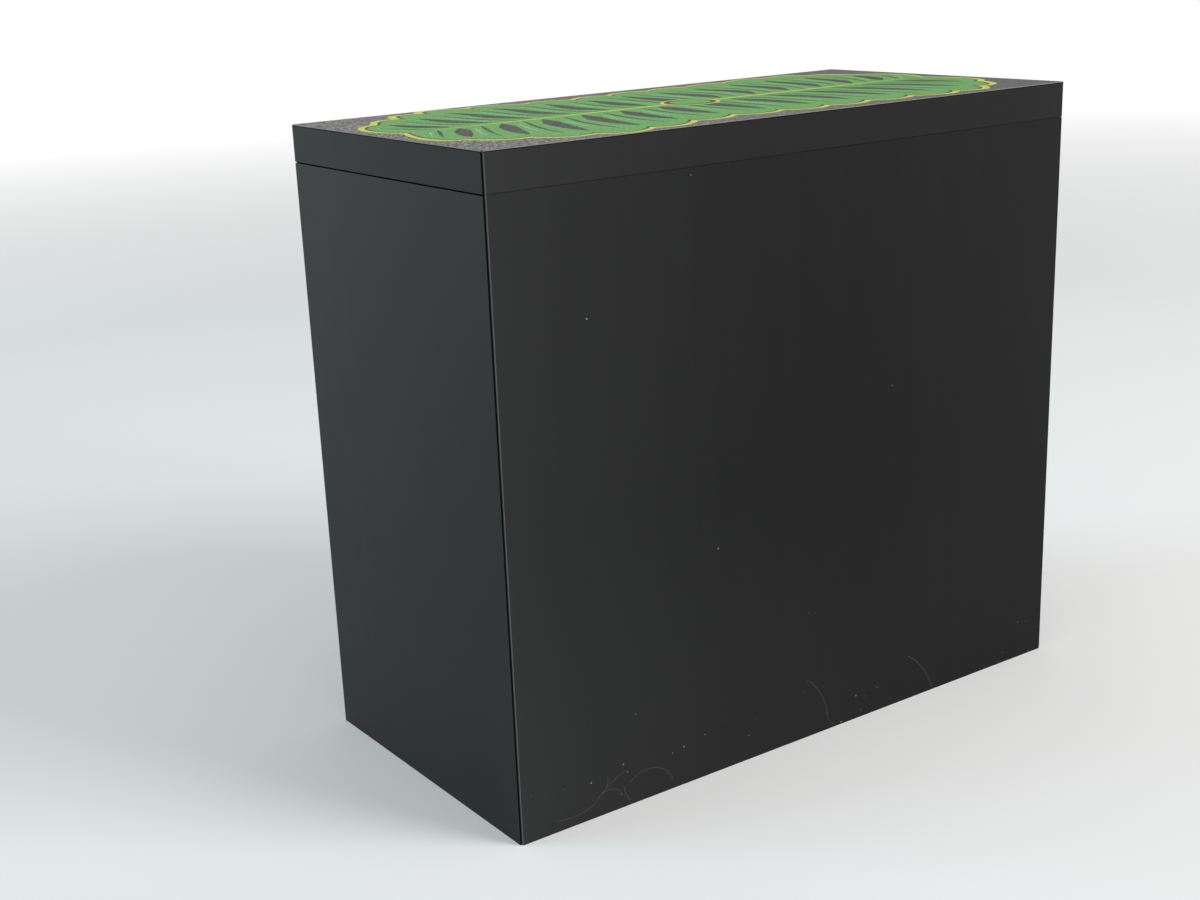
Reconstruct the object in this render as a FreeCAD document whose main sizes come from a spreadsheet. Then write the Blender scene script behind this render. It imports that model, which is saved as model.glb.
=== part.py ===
import FreeCAD, Part
import os

import Sketcher

# Acrylic protector case with a lift-off lid, in millimetres.
# The origin is the middle of the underside, on the surface that the case stands on.
# +X runs along the long front to the right, +Y to the rear and +Z up.

# Driving sizes: the name each has in the sheet, its value and what it measures.
SIZES = [
    ("case_width", 150.0, "outside, left to right"),
    ("case_depth", 74.0, "outside, front to rear"),
    ("case_height", 134.0, "outside, with the lid and its film"),
    ("wall", 5.0, "side sheets of the case and of the lid"),
    ("base_thickness", 4.0, "floor sheet"),
    ("corner_notch", 0.45, "square step along a corner, where two blunted mitres meet"),
    ("rim_height", 7.2, "side strips of the lid"),
    ("seam_gap", 0.3, "open line under the lid at the left and right ends"),
    ("seat_gap", 0.08, "finer line under the lid at the front and the rear"),
    ("top_thickness", 3.0, "top sheet of the lid"),
    ("film_thickness", 0.3, "printed film over the lid"),
    ("film_corner", 0.6, "radius of the film's corners"),
    ("film_edge", 0.12, "softened upper edge of the film"),
    ("lip_wall", 2.0, "strips under the lid that drop into the case"),
    ("lip_reach", 3.0, "how far the lip goes below the lid's side strips"),
    ("lip_clearance", 0.25, "between the lip and the inside of the walls, on each side"),
    ("lip_lead", 0.6, "bevel that guides the lip into the case"),
    ("magnet_diameter", 3.0, "disc magnets"),
    ("magnet_height", 2.0, "disc magnets"),
    ("magnet_edge", 0.15, "bevel round a magnet's ends"),
    ("magnet_clearance", 0.1, "between a magnet and its pocket, all round"),
    ("magnet_inset", 12.0, "from the outside of the ends to a magnet's axis"),
]

# Sizes and levels that follow from the driving ones.
SHORT_WALL_HEIGHT = "(Sizes.case_height - Sizes.film_thickness - Sizes.rim_height - Sizes.seam_gap)"
LONG_WALL_HEIGHT = "(Sizes.case_height - Sizes.film_thickness - Sizes.rim_height - Sizes.seat_gap)"
RIM_BOTTOM = "(Sizes.case_height - Sizes.film_thickness - Sizes.rim_height)"
RIM_TOP = "(Sizes.case_height - Sizes.film_thickness)"
TOP_SHEET_BOTTOM = "(Sizes.case_height - Sizes.film_thickness - Sizes.top_thickness)"
INSIDE_WIDTH = "(Sizes.case_width - 2 * Sizes.wall)"
INSIDE_DEPTH = "(Sizes.case_depth - 2 * Sizes.wall)"
LIP_WIDTH = "(Sizes.case_width - 2 * Sizes.wall - 2 * Sizes.lip_clearance)"
LIP_DEPTH = "(Sizes.case_depth - 2 * Sizes.wall - 2 * Sizes.lip_clearance)"
LIP_HEIGHT = "(Sizes.rim_height - Sizes.top_thickness + Sizes.lip_reach)"
LIP_BOTTOM = f"({RIM_BOTTOM} - Sizes.lip_reach)"
POCKET_DIAMETER = "(Sizes.magnet_diameter + 2 * Sizes.magnet_clearance)"
POCKET_DEPTH = "(Sizes.magnet_height - Sizes.seat_gap / 2)"
MAGNET_REACH = "(Sizes.case_width / 2 - Sizes.magnet_inset)"
MAGNET_MEETING = f"({LONG_WALL_HEIGHT} + Sizes.seat_gap / 2)"

# The four sides: name, half of the case's size across to that side, its direction and the turn
# about Z that points the sheet's inner face to the middle.
SIDES = [
    ("front", "Sizes.case_depth", (0, -1), 0),
    ("rear", "Sizes.case_depth", (0, 1), 180),
    ("left", "Sizes.case_width", (-1, 0), -90),
    ("right", "Sizes.case_width", (1, 0), 90),
]
MAGNET_SPOTS = [
    ("front_left", -1, -1),
    ("front_right", 1, -1),
    ("rear_left", -1, 1),
    ("rear_right", 1, 1),
]
Z_AXIS = FreeCAD.Vector(0, 0, 1)
TINY = 1e-6

doc = FreeCAD.newDocument("protector_case")
sheet = doc.addObject("Spreadsheet::Sheet", "Sizes")
for row, (alias, size, meaning) in enumerate(SIZES, start=1):
    sheet.set(f"A{row}", alias)
    sheet.set(f"B{row}", str(size))
    sheet.setAlias(f"B{row}", alias)
    sheet.set(f"C{row}", meaning)
doc.recompute()


def measured(expression):
    """The present value of an expression on the sheet's sizes."""
    return float(sheet.evalExpression(expression))


def new_body(label):
    """An empty body that carries the piece's name."""
    return doc.addObject("PartDesign::Body", label)


def place(body, x="0", y="0", z="0", turn=0):
    """Puts a body at a spot given by expressions, turned about Z by some degrees."""
    body.Placement = FreeCAD.Placement(FreeCAD.Vector(), FreeCAD.Rotation(Z_AXIS, turn))
    for axis, expression in (("x", x), ("y", y), ("z", z)):
        body.setExpression(f".Placement.Base.{axis}", expression)


def origin_plane(body, role):
    """One of the body's own three origin planes."""
    return next(plane for plane in body.Origin.OriginFeatures if plane.Role == role)


def new_sketch(body, name, role="XY_Plane", level=None):
    """A sketch on an origin plane of its body, lifted to a level if one is given."""
    sketch = body.newObject("Sketcher::SketchObject", f"{body.Label}_{name}")
    sketch.AttachmentSupport = (origin_plane(body, role), [""])
    sketch.MapMode = "FlatFace"
    if level:
        sketch.setExpression(".AttachmentOffset.Base.z", level)
    return sketch


def drawn_outline(sketch, corners):
    """Straight lines from corner to corner, joined into a closed outline."""
    points = [FreeCAD.Vector(x, y, 0) for x, y in corners]
    for start, end in zip(points, points[1:] + points[:1]):
        sketch.addGeometry(Part.LineSegment(start, end))
    for line in range(len(points)):
        following = (line + 1) % len(points)
        sketch.addConstraint(Sketcher.Constraint("Coincident", line, 2, following, 1))


def dimension(sketch, name, constraint, expression):
    """A named size in a sketch, bound to an expression."""
    sketch.renameConstraint(sketch.addConstraint(constraint), name)
    sketch.setExpression(f"Constraints.{name}", expression)


def padded(body, sketch, height):
    """Raises a sketch into a solid."""
    pad = body.newObject("PartDesign::Pad", f"{body.Label}_pad")
    pad.Profile = sketch
    pad.setExpression("Length", height)
    return pad


def rectangle_sheet(label, width, depth, thickness):
    """A plain rectangular sheet, centred on its own origin and standing on its lower face."""
    body = new_body(label)
    sketch = new_sketch(body, "outline")
    half_x = measured(width) / 2
    half_y = measured(depth) / 2
    drawn_outline(sketch, [(-half_x, -half_y), (half_x, -half_y), (half_x, half_y), (-half_x, half_y)])
    sketch.addConstraint(Sketcher.Constraint("Horizontal", 0))
    sketch.addConstraint(Sketcher.Constraint("Vertical", 1))
    sketch.addConstraint(Sketcher.Constraint("Horizontal", 2))
    sketch.addConstraint(Sketcher.Constraint("Vertical", 3))
    sketch.addConstraint(Sketcher.Constraint("Symmetric", 0, 1, 1, 2, -1, 1))
    dimension(sketch, "width", Sketcher.Constraint("DistanceX", 0, 1, 0, 2, 2 * half_x), width)
    dimension(sketch, "depth", Sketcher.Constraint("DistanceY", 1, 1, 1, 2, 2 * half_y), depth)
    padded(body, sketch, thickness)
    return body


def mitred_sheet(label, length, thickness, height):
    """A standing sheet with mitred ends whose thin tips are blunted.

    In plan its outer face lies on the X axis and its inner face on the +Y side. Each end runs
    straight in from the outer face by the notch, and then at 45 degrees to the inner face.
    """
    body = new_body(label)
    sketch = new_sketch(body, "outline")
    notch = measured("Sizes.corner_notch")
    deep = measured(thickness)
    outer = measured(length) / 2 - notch
    inner = measured(length) / 2 - deep
    drawn_outline(
        sketch,
        [(-outer, 0), (outer, 0), (outer, notch), (inner, deep), (-inner, deep), (-outer, notch)],
    )
    sketch.addConstraint(Sketcher.Constraint("PointOnObject", 0, 1, -1))
    sketch.addConstraint(Sketcher.Constraint("Symmetric", 0, 1, 0, 2, -2))
    sketch.addConstraint(Sketcher.Constraint("Symmetric", 3, 1, 3, 2, -2))
    sketch.addConstraint(Sketcher.Constraint("Vertical", 1))
    sketch.addConstraint(Sketcher.Constraint("Vertical", 5))
    sketch.addConstraint(Sketcher.Constraint("Equal", 1, 5))
    dimension(
        sketch,
        "outer_face",
        Sketcher.Constraint("DistanceX", 0, 1, 0, 2, 2 * outer),
        f"{length} - 2 * Sizes.corner_notch",
    )
    dimension(
        sketch,
        "inner_face",
        Sketcher.Constraint("DistanceX", 3, 2, 3, 1, 2 * inner),
        f"{length} - 2 * {thickness}",
    )
    dimension(
        sketch, "notch", Sketcher.Constraint("DistanceY", 1, 1, 1, 2, notch), "Sizes.corner_notch"
    )
    dimension(sketch, "thickness", Sketcher.Constraint("DistanceY", 0, 2, 2, 2, deep), thickness)
    padded(body, sketch, height)
    return body


def magnet_pockets(body, level, into_top):
    """Two round blind pockets in a sheet's edge, one near each end, for the disc magnets."""
    across = measured("Sizes.wall / 2")
    along = measured(MAGNET_REACH)
    radius = measured(POCKET_DIAMETER) / 2
    sketch = new_sketch(body, "pocket_outline", level=level)
    centre = FreeCAD.Vector(along, across, 0)
    sketch.addGeometry(Part.Circle(centre, Z_AXIS, radius))
    dimension(sketch, "along", Sketcher.Constraint("DistanceX", -1, 1, 0, 3, along), MAGNET_REACH)
    dimension(
        sketch, "across", Sketcher.Constraint("DistanceY", -1, 1, 0, 3, across), "Sizes.wall / 2"
    )
    dimension(sketch, "bore", Sketcher.Constraint("Diameter", 0, 2 * radius), POCKET_DIAMETER)
    pocket = body.newObject("PartDesign::Pocket", f"{body.Label}_pocket")
    pocket.Profile = sketch
    pocket.Reversed = not into_top
    pocket.setExpression("Length", POCKET_DEPTH)
    twin = body.newObject("PartDesign::Mirrored", f"{body.Label}_pocket_twin")
    twin.Originals = [pocket]
    twin.MirrorPlane = (origin_plane(body, "YZ_Plane"), [""])
    body.Tip = twin


def lead_in(body):
    """Bevels the lower outer edge of a lip strip along its whole length."""
    size = measured("Sizes.lip_lead")
    sketch = new_sketch(body, "lead_outline", "YZ_Plane")
    drawn_outline(sketch, [(0, 0), (size, 0), (0, size)])
    sketch.addConstraint(Sketcher.Constraint("Coincident", 0, 1, -1, 1))
    sketch.addConstraint(Sketcher.Constraint("Horizontal", 0))
    sketch.addConstraint(Sketcher.Constraint("Vertical", 2))
    sketch.addConstraint(Sketcher.Constraint("Equal", 0, 2))
    dimension(sketch, "lead", Sketcher.Constraint("DistanceX", 0, 1, 0, 2, size), "Sizes.lip_lead")
    bevel = body.newObject("PartDesign::Pocket", f"{body.Label}_lead")
    bevel.Profile = sketch
    bevel.Type = "ThroughAll"
    bevel.Midplane = True


def wall_panel(side, across, direction, turn):
    """One wall of the case: a mitred sheet from the floor up to the seam."""
    if across == "Sizes.case_depth":
        body = mitred_sheet(f"{side}_panel", "Sizes.case_width", "Sizes.wall", LONG_WALL_HEIGHT)
        magnet_pockets(body, LONG_WALL_HEIGHT, into_top=True)
    else:
        body = mitred_sheet(f"{side}_panel", "Sizes.case_depth", "Sizes.wall", SHORT_WALL_HEIGHT)
    place(body, f"{direction[0]} * {across} / 2", f"{direction[1]} * {across} / 2", turn=turn)
    return body


def rim_strip(side, across, direction, turn):
    """One side of the lid: a mitred strip in line with the wall below it."""
    length = "Sizes.case_width" if across == "Sizes.case_depth" else "Sizes.case_depth"
    body = mitred_sheet(f"lid_rim_{side}", length, "Sizes.wall", "Sizes.rim_height")
    if across == "Sizes.case_depth":
        magnet_pockets(body, None, into_top=False)
    x = f"{direction[0]} * {across} / 2"
    y = f"{direction[1]} * {across} / 2"
    place(body, x, y, RIM_BOTTOM, turn)
    return body


def lip_strip(side, across, direction, turn):
    """One side of the lip that hangs from the lid's top sheet into the mouth of the case."""
    lengthways = across == "Sizes.case_depth"
    body = mitred_sheet(
        f"lid_lip_{side}", LIP_WIDTH if lengthways else LIP_DEPTH, "Sizes.lip_wall", LIP_HEIGHT
    )
    lead_in(body)
    reach = LIP_DEPTH if lengthways else LIP_WIDTH
    x = f"{direction[0]} * {reach} / 2"
    y = f"{direction[1]} * {reach} / 2"
    place(body, x, y, LIP_BOTTOM, turn)
    return body


def magnet(label, right, rear, level):
    """A disc magnet with a small bevel round both of its ends."""
    body = new_body(label)
    sketch = new_sketch(body, "outline")
    radius = measured("Sizes.magnet_diameter") / 2
    sketch.addGeometry(Part.Circle(FreeCAD.Vector(), Z_AXIS, radius))
    sketch.addConstraint(Sketcher.Constraint("Coincident", 0, 3, -1, 1))
    dimension(
        sketch, "diameter", Sketcher.Constraint("Diameter", 0, 2 * radius), "Sizes.magnet_diameter"
    )
    disc = padded(body, sketch, "Sizes.magnet_height")
    doc.recompute()
    rings = [
        f"Edge{number}"
        for number, edge in enumerate(disc.Shape.Edges, start=1)
        if isinstance(edge.Curve, Part.Circle)
    ]
    bevel = body.newObject("PartDesign::Chamfer", f"{label}_bevel")
    bevel.Base = (disc, rings)
    bevel.setExpression("Size", "Sizes.magnet_edge")
    place(
        body,
        f"{right} * {MAGNET_REACH}",
        f"{rear} * (Sizes.case_depth - Sizes.wall) / 2",
        level,
    )
    return body


def print_film():
    """The film that covers the lid's top, with rounded corners and a softened upper edge."""
    body = rectangle_sheet(
        "lid_print_film", "Sizes.case_width", "Sizes.case_depth", "Sizes.film_thickness"
    )
    doc.recompute()
    blank = body.Tip
    upright = [
        f"Edge{number}"
        for number, edge in enumerate(blank.Shape.Edges, start=1)
        if abs(edge.tangentAt(edge.FirstParameter).z) > 1 - TINY
    ]
    corners = body.newObject("PartDesign::Fillet", "film_corners")
    corners.Base = (blank, upright)
    corners.setExpression("Radius", "Sizes.film_corner")
    doc.recompute()
    top = measured("Sizes.film_thickness")
    upper_face = next(
        f"Face{number}"
        for number, face in enumerate(corners.Shape.Faces, start=1)
        if abs(face.CenterOfMass.z - top) < TINY
    )
    softened = body.newObject("PartDesign::Chamfer", "film_softened_edge")
    softened.Base = (corners, [upper_face])
    softened.setExpression("Size", "Sizes.film_edge")
    place(body, z=RIM_TOP)
    return body


def check_features():
    """Stops if a feature failed, a sketch is loose, or a cut took nothing off its solid."""
    for item in doc.Objects:
        if {"Invalid", "Error"} & set(item.State):
            raise RuntimeError(f"{item.Label} is {item.State}")
        if item.TypeId == "Sketcher::SketchObject" and not item.FullyConstrained:
            raise RuntimeError(f"{item.Label} is not fully constrained")
        if item.TypeId in ("PartDesign::Pocket", "PartDesign::Mirrored", "PartDesign::Chamfer"):
            if item.Shape.Volume > item.BaseFeature.Shape.Volume - TINY:
                raise RuntimeError(f"{item.Label} cuts nothing")


def check_solid(body):
    """Stops unless a piece is one sound solid."""
    shape = body.Shape
    if shape.isNull() or not shape.isValid() or len(shape.Solids) != 1:
        raise RuntimeError(f"{body.Label} is not one sound solid")


# The case: floor, four walls and the magnets in the long walls.
pieces = [rectangle_sheet("base_panel", INSIDE_WIDTH, INSIDE_DEPTH, "Sizes.base_thickness")]
pieces += [wall_panel(*side) for side in SIDES]
for spot, right, rear in MAGNET_SPOTS:
    level = f"({MAGNET_MEETING} - Sizes.magnet_height)"
    pieces.append(magnet(f"case_magnet_{spot}", right, rear, level))

# The lid: top sheet, side strips, lip, magnets and film.
top_sheet = rectangle_sheet("lid_top_sheet", INSIDE_WIDTH, INSIDE_DEPTH, "Sizes.top_thickness")
place(top_sheet, z=TOP_SHEET_BOTTOM)
pieces.append(top_sheet)
pieces += [rim_strip(*side) for side in SIDES]
pieces += [lip_strip(*side) for side in SIDES]
pieces += [magnet(f"lid_magnet_{spot}", right, rear, MAGNET_MEETING) for spot, right, rear in MAGNET_SPOTS]
pieces.append(print_film())

doc.recompute()
check_features()
os.makedirs("parts", exist_ok=True)
for piece in pieces:
    check_solid(piece)
for piece in pieces:
    piece.Shape.exportStep(f"parts/{piece.Label}.step")
print(f"{len(pieces)} pieces written")
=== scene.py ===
import math

import bmesh
import bpy
import numpy as np
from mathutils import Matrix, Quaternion, Vector


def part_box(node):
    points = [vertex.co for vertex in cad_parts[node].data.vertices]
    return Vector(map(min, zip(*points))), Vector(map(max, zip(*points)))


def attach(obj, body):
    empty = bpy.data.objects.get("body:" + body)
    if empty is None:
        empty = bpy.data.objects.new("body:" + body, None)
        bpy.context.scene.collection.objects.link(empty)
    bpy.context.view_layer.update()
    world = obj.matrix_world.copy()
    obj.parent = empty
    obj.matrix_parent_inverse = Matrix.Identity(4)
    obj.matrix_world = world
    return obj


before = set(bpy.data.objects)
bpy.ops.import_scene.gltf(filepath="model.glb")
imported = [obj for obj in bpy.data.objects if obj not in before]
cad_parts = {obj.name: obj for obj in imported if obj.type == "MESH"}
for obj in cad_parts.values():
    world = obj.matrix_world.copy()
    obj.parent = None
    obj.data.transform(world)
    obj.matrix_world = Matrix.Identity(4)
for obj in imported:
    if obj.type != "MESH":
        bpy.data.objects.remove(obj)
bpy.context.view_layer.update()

# Everything is in metres, in the case's own frame: the middle of the underside is the origin, +X runs
# to the right along the long front, +Y to the rear and +Z up.
MM = 0.001

# Sizes read from the frame.
FILM_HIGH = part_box("lid_print_film")[1]
CASE_HALF_WIDTH = FILM_HIGH.x
CASE_HALF_DEPTH = FILM_HIGH.y
LID_TOP = FILM_HIGH.z
FRONT_LOW, FRONT_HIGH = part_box("front_panel")
CORNER_NOTCH = CASE_HALF_WIDTH - FRONT_HIGH.x
WALL = FRONT_HIGH.y - FRONT_LOW.y

# The camera stands before the front's left end, a little above the lid, and leans slightly. The shift is
# a share of the sensor's width.
CAMERA_PLACE = Vector((-0.2299, -0.2902, 0.1680))
CAMERA_DIRECTION = Vector((0.5400, 0.7853, -0.3029))
CAMERA_ROLL = math.radians(-2.40)
SENSOR_WIDTH_MM = 36.0
FOCAL_LENGTH_MM = 51.33
FRAME_SHIFT = (0.0102, 0.0268)
CLIP_NEAR = 0.01
CLIP_FAR = 20.0

# The soft square lamps, cool at the rear left and neutral at the front right and above, all turned to a
# point inside the case: name, place, side, watts and colour.
LAMP_TARGET = Vector((0.0, 0.0, 0.05))
LAMPS = [
    ("rear_left_box", (-1.15, 0.70, 0.40), 0.7, 7.5, (0.60, 0.97, 1.0)),
    ("front_right_box", (0.70, -1.02, 0.74), 0.7, 14.0, (1.0, 0.99, 0.98)),
    ("top_box", (-0.1, -0.1, 1.2), 0.9, 3.0, (1.0, 1.0, 1.0)),
]
WORLD_STRENGTH = 0.30

# The floor: half its side, how far it lies below the case, the glow that lifts it for the eye, and the
# distances from the case at which it begins to turn white and is all white.
FLOOR_REACH = 3.0
FLOOR_DROP = 0.05 * MM
FLOOR_GLOW = 0.14
FLOOR_TURNS_WHITE = 0.50
FLOOR_ALL_WHITE = 1.30

# Finishes, as linear colours.
WHITE = (1.0, 1.0, 1.0, 1.0)
ACRYLIC_BLACK = (0.0085, 0.0088, 0.0088, 1.0)
# The pale colour of the painted sheen on the front and of the painted highlight at the corner steps.
ACRYLIC_SHEEN_PALE = (0.190, 0.193, 0.197, 1.0)
# Painted shade in the corner steps and on the film's side, and the glue line's own dark colour.
PAINTED_SHADE_AND_GLUE = (0.0012, 0.0012, 0.0014, 1.0)
DUST_COLOUR = (0.32, 0.31, 0.29, 1.0)
LINT_COLOUR = (0.100, 0.102, 0.103, 1.0)
FILM_DARK = (0.006, 0.0055, 0.0050, 1.0)
# The painted glint on the film's pebble crowns.
FILM_GLINT = (0.520, 0.485, 0.455, 1.0)
# The pale colour of the painted highlight along the film's softened upper edge.
FILM_EDGE_HIGHLIGHT = (0.240, 0.232, 0.220, 1.0)
# The inks' pale colours are painted glints on their pebble crowns; the pale green also bases the painted
# highlight slivers.
INK_DARK_GLINT = (0.140, 0.140, 0.125, 1.0)
INK_GREEN = (0.080, 0.300, 0.045, 1.0)
INK_GREEN_GLINT = (0.230, 0.500, 0.210, 1.0)
# The pale crown colour of the painted highlight slivers on the lobes.
INK_HIGHLIGHT = (0.330, 0.640, 0.380, 1.0)
INK_YELLOW = (0.600, 0.600, 0.045, 1.0)
INK_YELLOW_GLINT = (0.780, 0.780, 0.200, 1.0)
NICKEL = (0.620, 0.600, 0.560, 1.0)
NICKEL_RUBBED = (0.42, 0.40, 0.37, 1.0)
FLOOR_WHITE = (0.80, 0.80, 0.80, 1.0)

# The colour sockets of a Mix node, which have the names of its other sockets too.
MIX_FIRST = 6
MIX_SECOND = 7
MIX_RESULT = 2

# Most soft noise lies between these two values.
NOISE_LOW = 0.3
NOISE_HIGH = 0.7

# Dust: cells per metre, a speck's radius as a share of a cell, and the share of the cells that hold one.
# The smallest speck is a share of the largest, and the rim is the share of a speck that fades. Floor dust
# begins at one height, is full at a lower one, and is laid on at a share of its strength.
SPARSE_DUST = {"Cells_per_metre": 210.0, "Size": 0.045, "Share": 0.035}
FLOOR_DUST = {"Cells_per_metre": 650.0, "Size": 0.10, "Share": 0.10}
FILM_DUST = {"Cells_per_metre": 230.0, "Size": 0.04, "Share": 0.05}
SMALLEST_DUST = 0.4
DUST_RIM = 0.45
FLOOR_DUST_ENDS = 14 * MM
FLOOR_DUST_FULL = 0.5 * MM
FLOOR_DUST_SHARE = 0.8

# Vertical marks in the satin face and rubbing marks in the nickel: noise steps per metre along X, Y and Z.
# The detail is in octaves.
FINE_MARKS = (1500.0, 1500.0, 9.0)
BROAD_MARKS = (260.0, 260.0, 5.0)
FINE_MARKS_SHARE = 0.5
RUBBING_MARKS = (2500.0, 9000.0, 2500.0)
RUBBING_DETAIL = 3.0

# Smudges from handling, with their steps per metre as the scale.
WIDE_SMUDGES = {"scale": 26.0, "detail": 3.0, "roughness": 0.55}
SMALL_SMUDGES = {"scale": 140.0}
WIDE_SMUDGES_SHARE = 0.75

# The painted sheen on the front, a paler tone that stands in for light reflected from the floor, with some
# dust and handling: where it begins, and how much of the pale colour it adds at its most. The amounts were
# chosen to match the photo's tones. Only what lies within a skin's depth of the front face takes it.
SHEEN_END_STARTS = 20 * MM
SHEEN_END_SHARE = 0.090
LOW_SHEEN_AND_DUST_STARTS = 60 * MM
LOW_SHEEN_AND_DUST_SHARE = 0.038
FACE_SKIN = 0.1 * MM

# Marks at the mitred corners: the share of the step painted dark as shade, the glue line's half width,
# and the room that is left for rounding.
SHADED_SHARE = 0.93
GLUE_LINE = 0.12 * MM
ROUNDING_ROOM = 0.01 * MM

# Satin acrylic: how strongly each sheet reflects, how deep its marks are in tone, and its roughness and
# relief. In the photo the front panel is duller than the lid's strip above it, and both are duller than the
# ends.
END_REFLECTION = 0.16
LID_REFLECTION = 0.13
FRONT_REFLECTION = 0.10
CASE_MARKS = 0.10
LID_MARKS = 0.08
ACRYLIC_IOR = 1.49
SATIN_ROUGHNESS = (0.36, 0.44)
MARKS_ROUGHNESS = 0.03
DUST_ROUGHNESS = 0.9
MARKS_RELIEF = 0.6
DUST_RELIEF = 1.5
SATIN_BUMP = 0.12
SATIN_BUMP_DEPTH = 0.02 * MM

# The film's grain and inks. Pebble crowns carry a painted glint that is strong at the left end and faint
# at the right, as if less light fell there.
GRAINS_PER_METRE = 2100.0
RIPPLES = {"scale": 4200.0, "detail": 1.0}
PEBBLE_RIM = 0.70
PEBBLE_TOP = 0.20
LOWEST_PEBBLE = 0.15
PEBBLE_SHARE = 0.75
GLINT_CROWN_POWER = 1.6
DULLEST_CROWN = 0.5
GRAIN_DEPTH = 0.11 * MM
GLINT_AT_LEFT = 2.0
GLINT_AT_RIGHT = 0.10
SMUDGED_CROWNS = (0.8, 1.1)
FILM_IOR = 1.5
FILM_REFLECTION = 0.08
FILM_ROUGHNESS = 0.34
INK_ROUGHNESS = 0.42
PIT_ROUGHER = 0.08
CROWN_SMOOTHER = 0.06
FILM_SOFTENED = 0.13 * MM

# Nickel on the magnets: where the rubbing marks change its colour and its roughness, and its relief.
NICKEL_WEAR = (0.35, 0.75)
NICKEL_MARKS = (0.3, 0.8)
NICKEL_ROUGHNESS = (0.16, 0.34)
NICKEL_SMUDGED = 0.08
NICKEL_BUMP = 0.1
NICKEL_BUMP_DEPTH = 0.01 * MM

# Hairs of lint low on the front: each one's start, middle and end, across and up in mm on the panel's face.
# They lie about where the photo shows them, to the nearest half millimetre.
LINT_HAIRS = [
    ((-66.5, 2.5), (-62.0, 2.0), (-57.5, 3.0)),
    ((-57.5, 3.0), (-54.5, 5.5), (-49.5, 8.0)),
    ((-48.5, 5.0), (-43.5, 6.5), (-37.5, 2.0)),
    ((-50.0, 4.5), (-49.5, 2.5), (-48.5, 1.0)),
    ((-56.5, 4.0), (-53.0, 5.0), (-50.5, 3.0)),
    ((-55.0, 5.0), (-54.0, 6.5), (-54.0, 8.0)),
    ((-0.5, 13.5), (3.5, 9.0), (5.5, 3.5)),
    ((5.0, 5.0), (5.5, 3.0), (7.5, 0.5)),
    ((30.0, 10.5), (34.5, 6.5), (38.0, 0.5)),
]
LINT_HALF_WIDTH = 0.075 * MM

# Single specks of dust on the front, by half width: across and up in mm on the panel's face. They lie about
# where the photo shows them, to the nearest half millimetre. The core is the solid share of a half width.
LARGE_SPECK = 0.22 * MM
LARGE_SPECKS = [
    (9.5, 0.5),
    (14.0, 5.5),
    (-34.5, 8.5),
    (-58.0, 8.0),
    (-50.0, 9.5),
    (-24.5, 49.5),
    (-54.5, 101.5),
]
SMALL_SPECK = 0.15 * MM
SMALL_SPECKS = [
    (-37.5, 8.0),
    (-49.0, 7.5),
    (-29.0, 9.5),
    (-46.5, 19.5),
    (-29.5, 125.0),
    (66.5, 9.0),
    (20.5, 5.5),
    (-17.0, 5.5),
]
SPECK_CORE = 0.4

# The print on the lid: a broad split leaf on both sides of a stem, with lobes that lean away from the lid's
# middle. Tips are pairs of powers for the function blunt.
LEAF_HALF_LENGTH = 68 * MM
LEAF_HALF_HEIGHT = 34 * MM
LEAF_SWELL = 0.12
LEAF_TIP = (5, 0.6)
LEAF_WAVE = 0.045
LEAF_WAVE_STEP = 6.3 * MM
LEAF_WAVE_START = 0.7
LOBES_PER_SIDE = 7
LOBE_PITCH = LEAF_HALF_LENGTH / LOBES_PER_SIDE
LOBE_DEPTH = 0.12
LOBE_TIP = (1.6, 0.7)
STEM_GAP = 0.9 * MM
STEM_HALF_WIDTH = 0.55 * MM
STEM_REACH = 0.93
STEM_TIP = (3, 1.0)
YELLOW_WIDTH = 1.2 * MM
DARK_WIDTH = 0.5 * MM
BUD_EDGE_RADIUS = 6.4 * MM
BUD_GROUND_RADIUS = 5.6 * MM
BUD_RADIUS = 4.4 * MM

# How lobes lean and sway: by how far, how many radians of sway there are from the stem to the edge, how
# much of that differs between the two flanks, and from where along the stem the sway is full.
LEAF_LEAN = 17 * MM
LEAN_POWER = 1.3
LEAF_SWAY = 1.6 * MM
SWAY_TURN = 5.2
SWAY_DIFFERENCE = 1.1
SWAY_FULL_FROM = 0.25

# Marks on the leaf, as blades that grow from a narrow root. Their ends are shares of the leaf's reach
# there, apart from the roots of gaps and veins, which are shares of its half height. Gaps are drawn in a
# little towards the lid's middle, and veins and pale streaks lie to each side of a lobe's middle; the pale
# streaks are painted highlights.
BLADE_ROOT = 0.2
BLADE_GROWTH = 3.0
BLADE_TIP = (2.6, 0.8)
GAP_DRAWN_IN = 0.985
GAP_ROOT = 2.2 * STEM_GAP / LEAF_HALF_HEIGHT
GAP_REACH = 0.80
GAP_HALF_WIDTH = 1.9 * MM
BESIDE_MIDDLE = 0.10 * LOBE_PITCH
VEIN_ROOT = STEM_GAP / LEAF_HALF_HEIGHT
VEIN_REACH = 0.86
VEIN_HALF_WIDTH = 0.45 * MM
HIGHLIGHT_ROOT = 0.16
HIGHLIGHT_REACH = 0.70
HIGHLIGHT_HALF_WIDTH = 0.26 * MM

# Inks from the film up, with each one's face one thickness above the last. All reach down into the film.
INK = 0.010 * MM
INK_ORDER = ["outline", "dark line", "leaf", "marks", "stem", "bud edge", "bud ground", "bud"]
PRINT_ROOT = LID_TOP - 0.1 * MM

# How finely the print's grids are divided, and how near points are when they count as one.
LEAF_COLUMNS_PER_LOBE = 28
LEAF_ROWS = 25
EDGE_STEPS = 17
BLADE_COLUMNS = 28
BLADE_ROWS = 5
STEM_COLUMNS = 81
STEM_ROWS = 3
DISC_COLUMNS = 41
DISC_ROWS = 21
SAME_POINT = 0.0005 * MM


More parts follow.
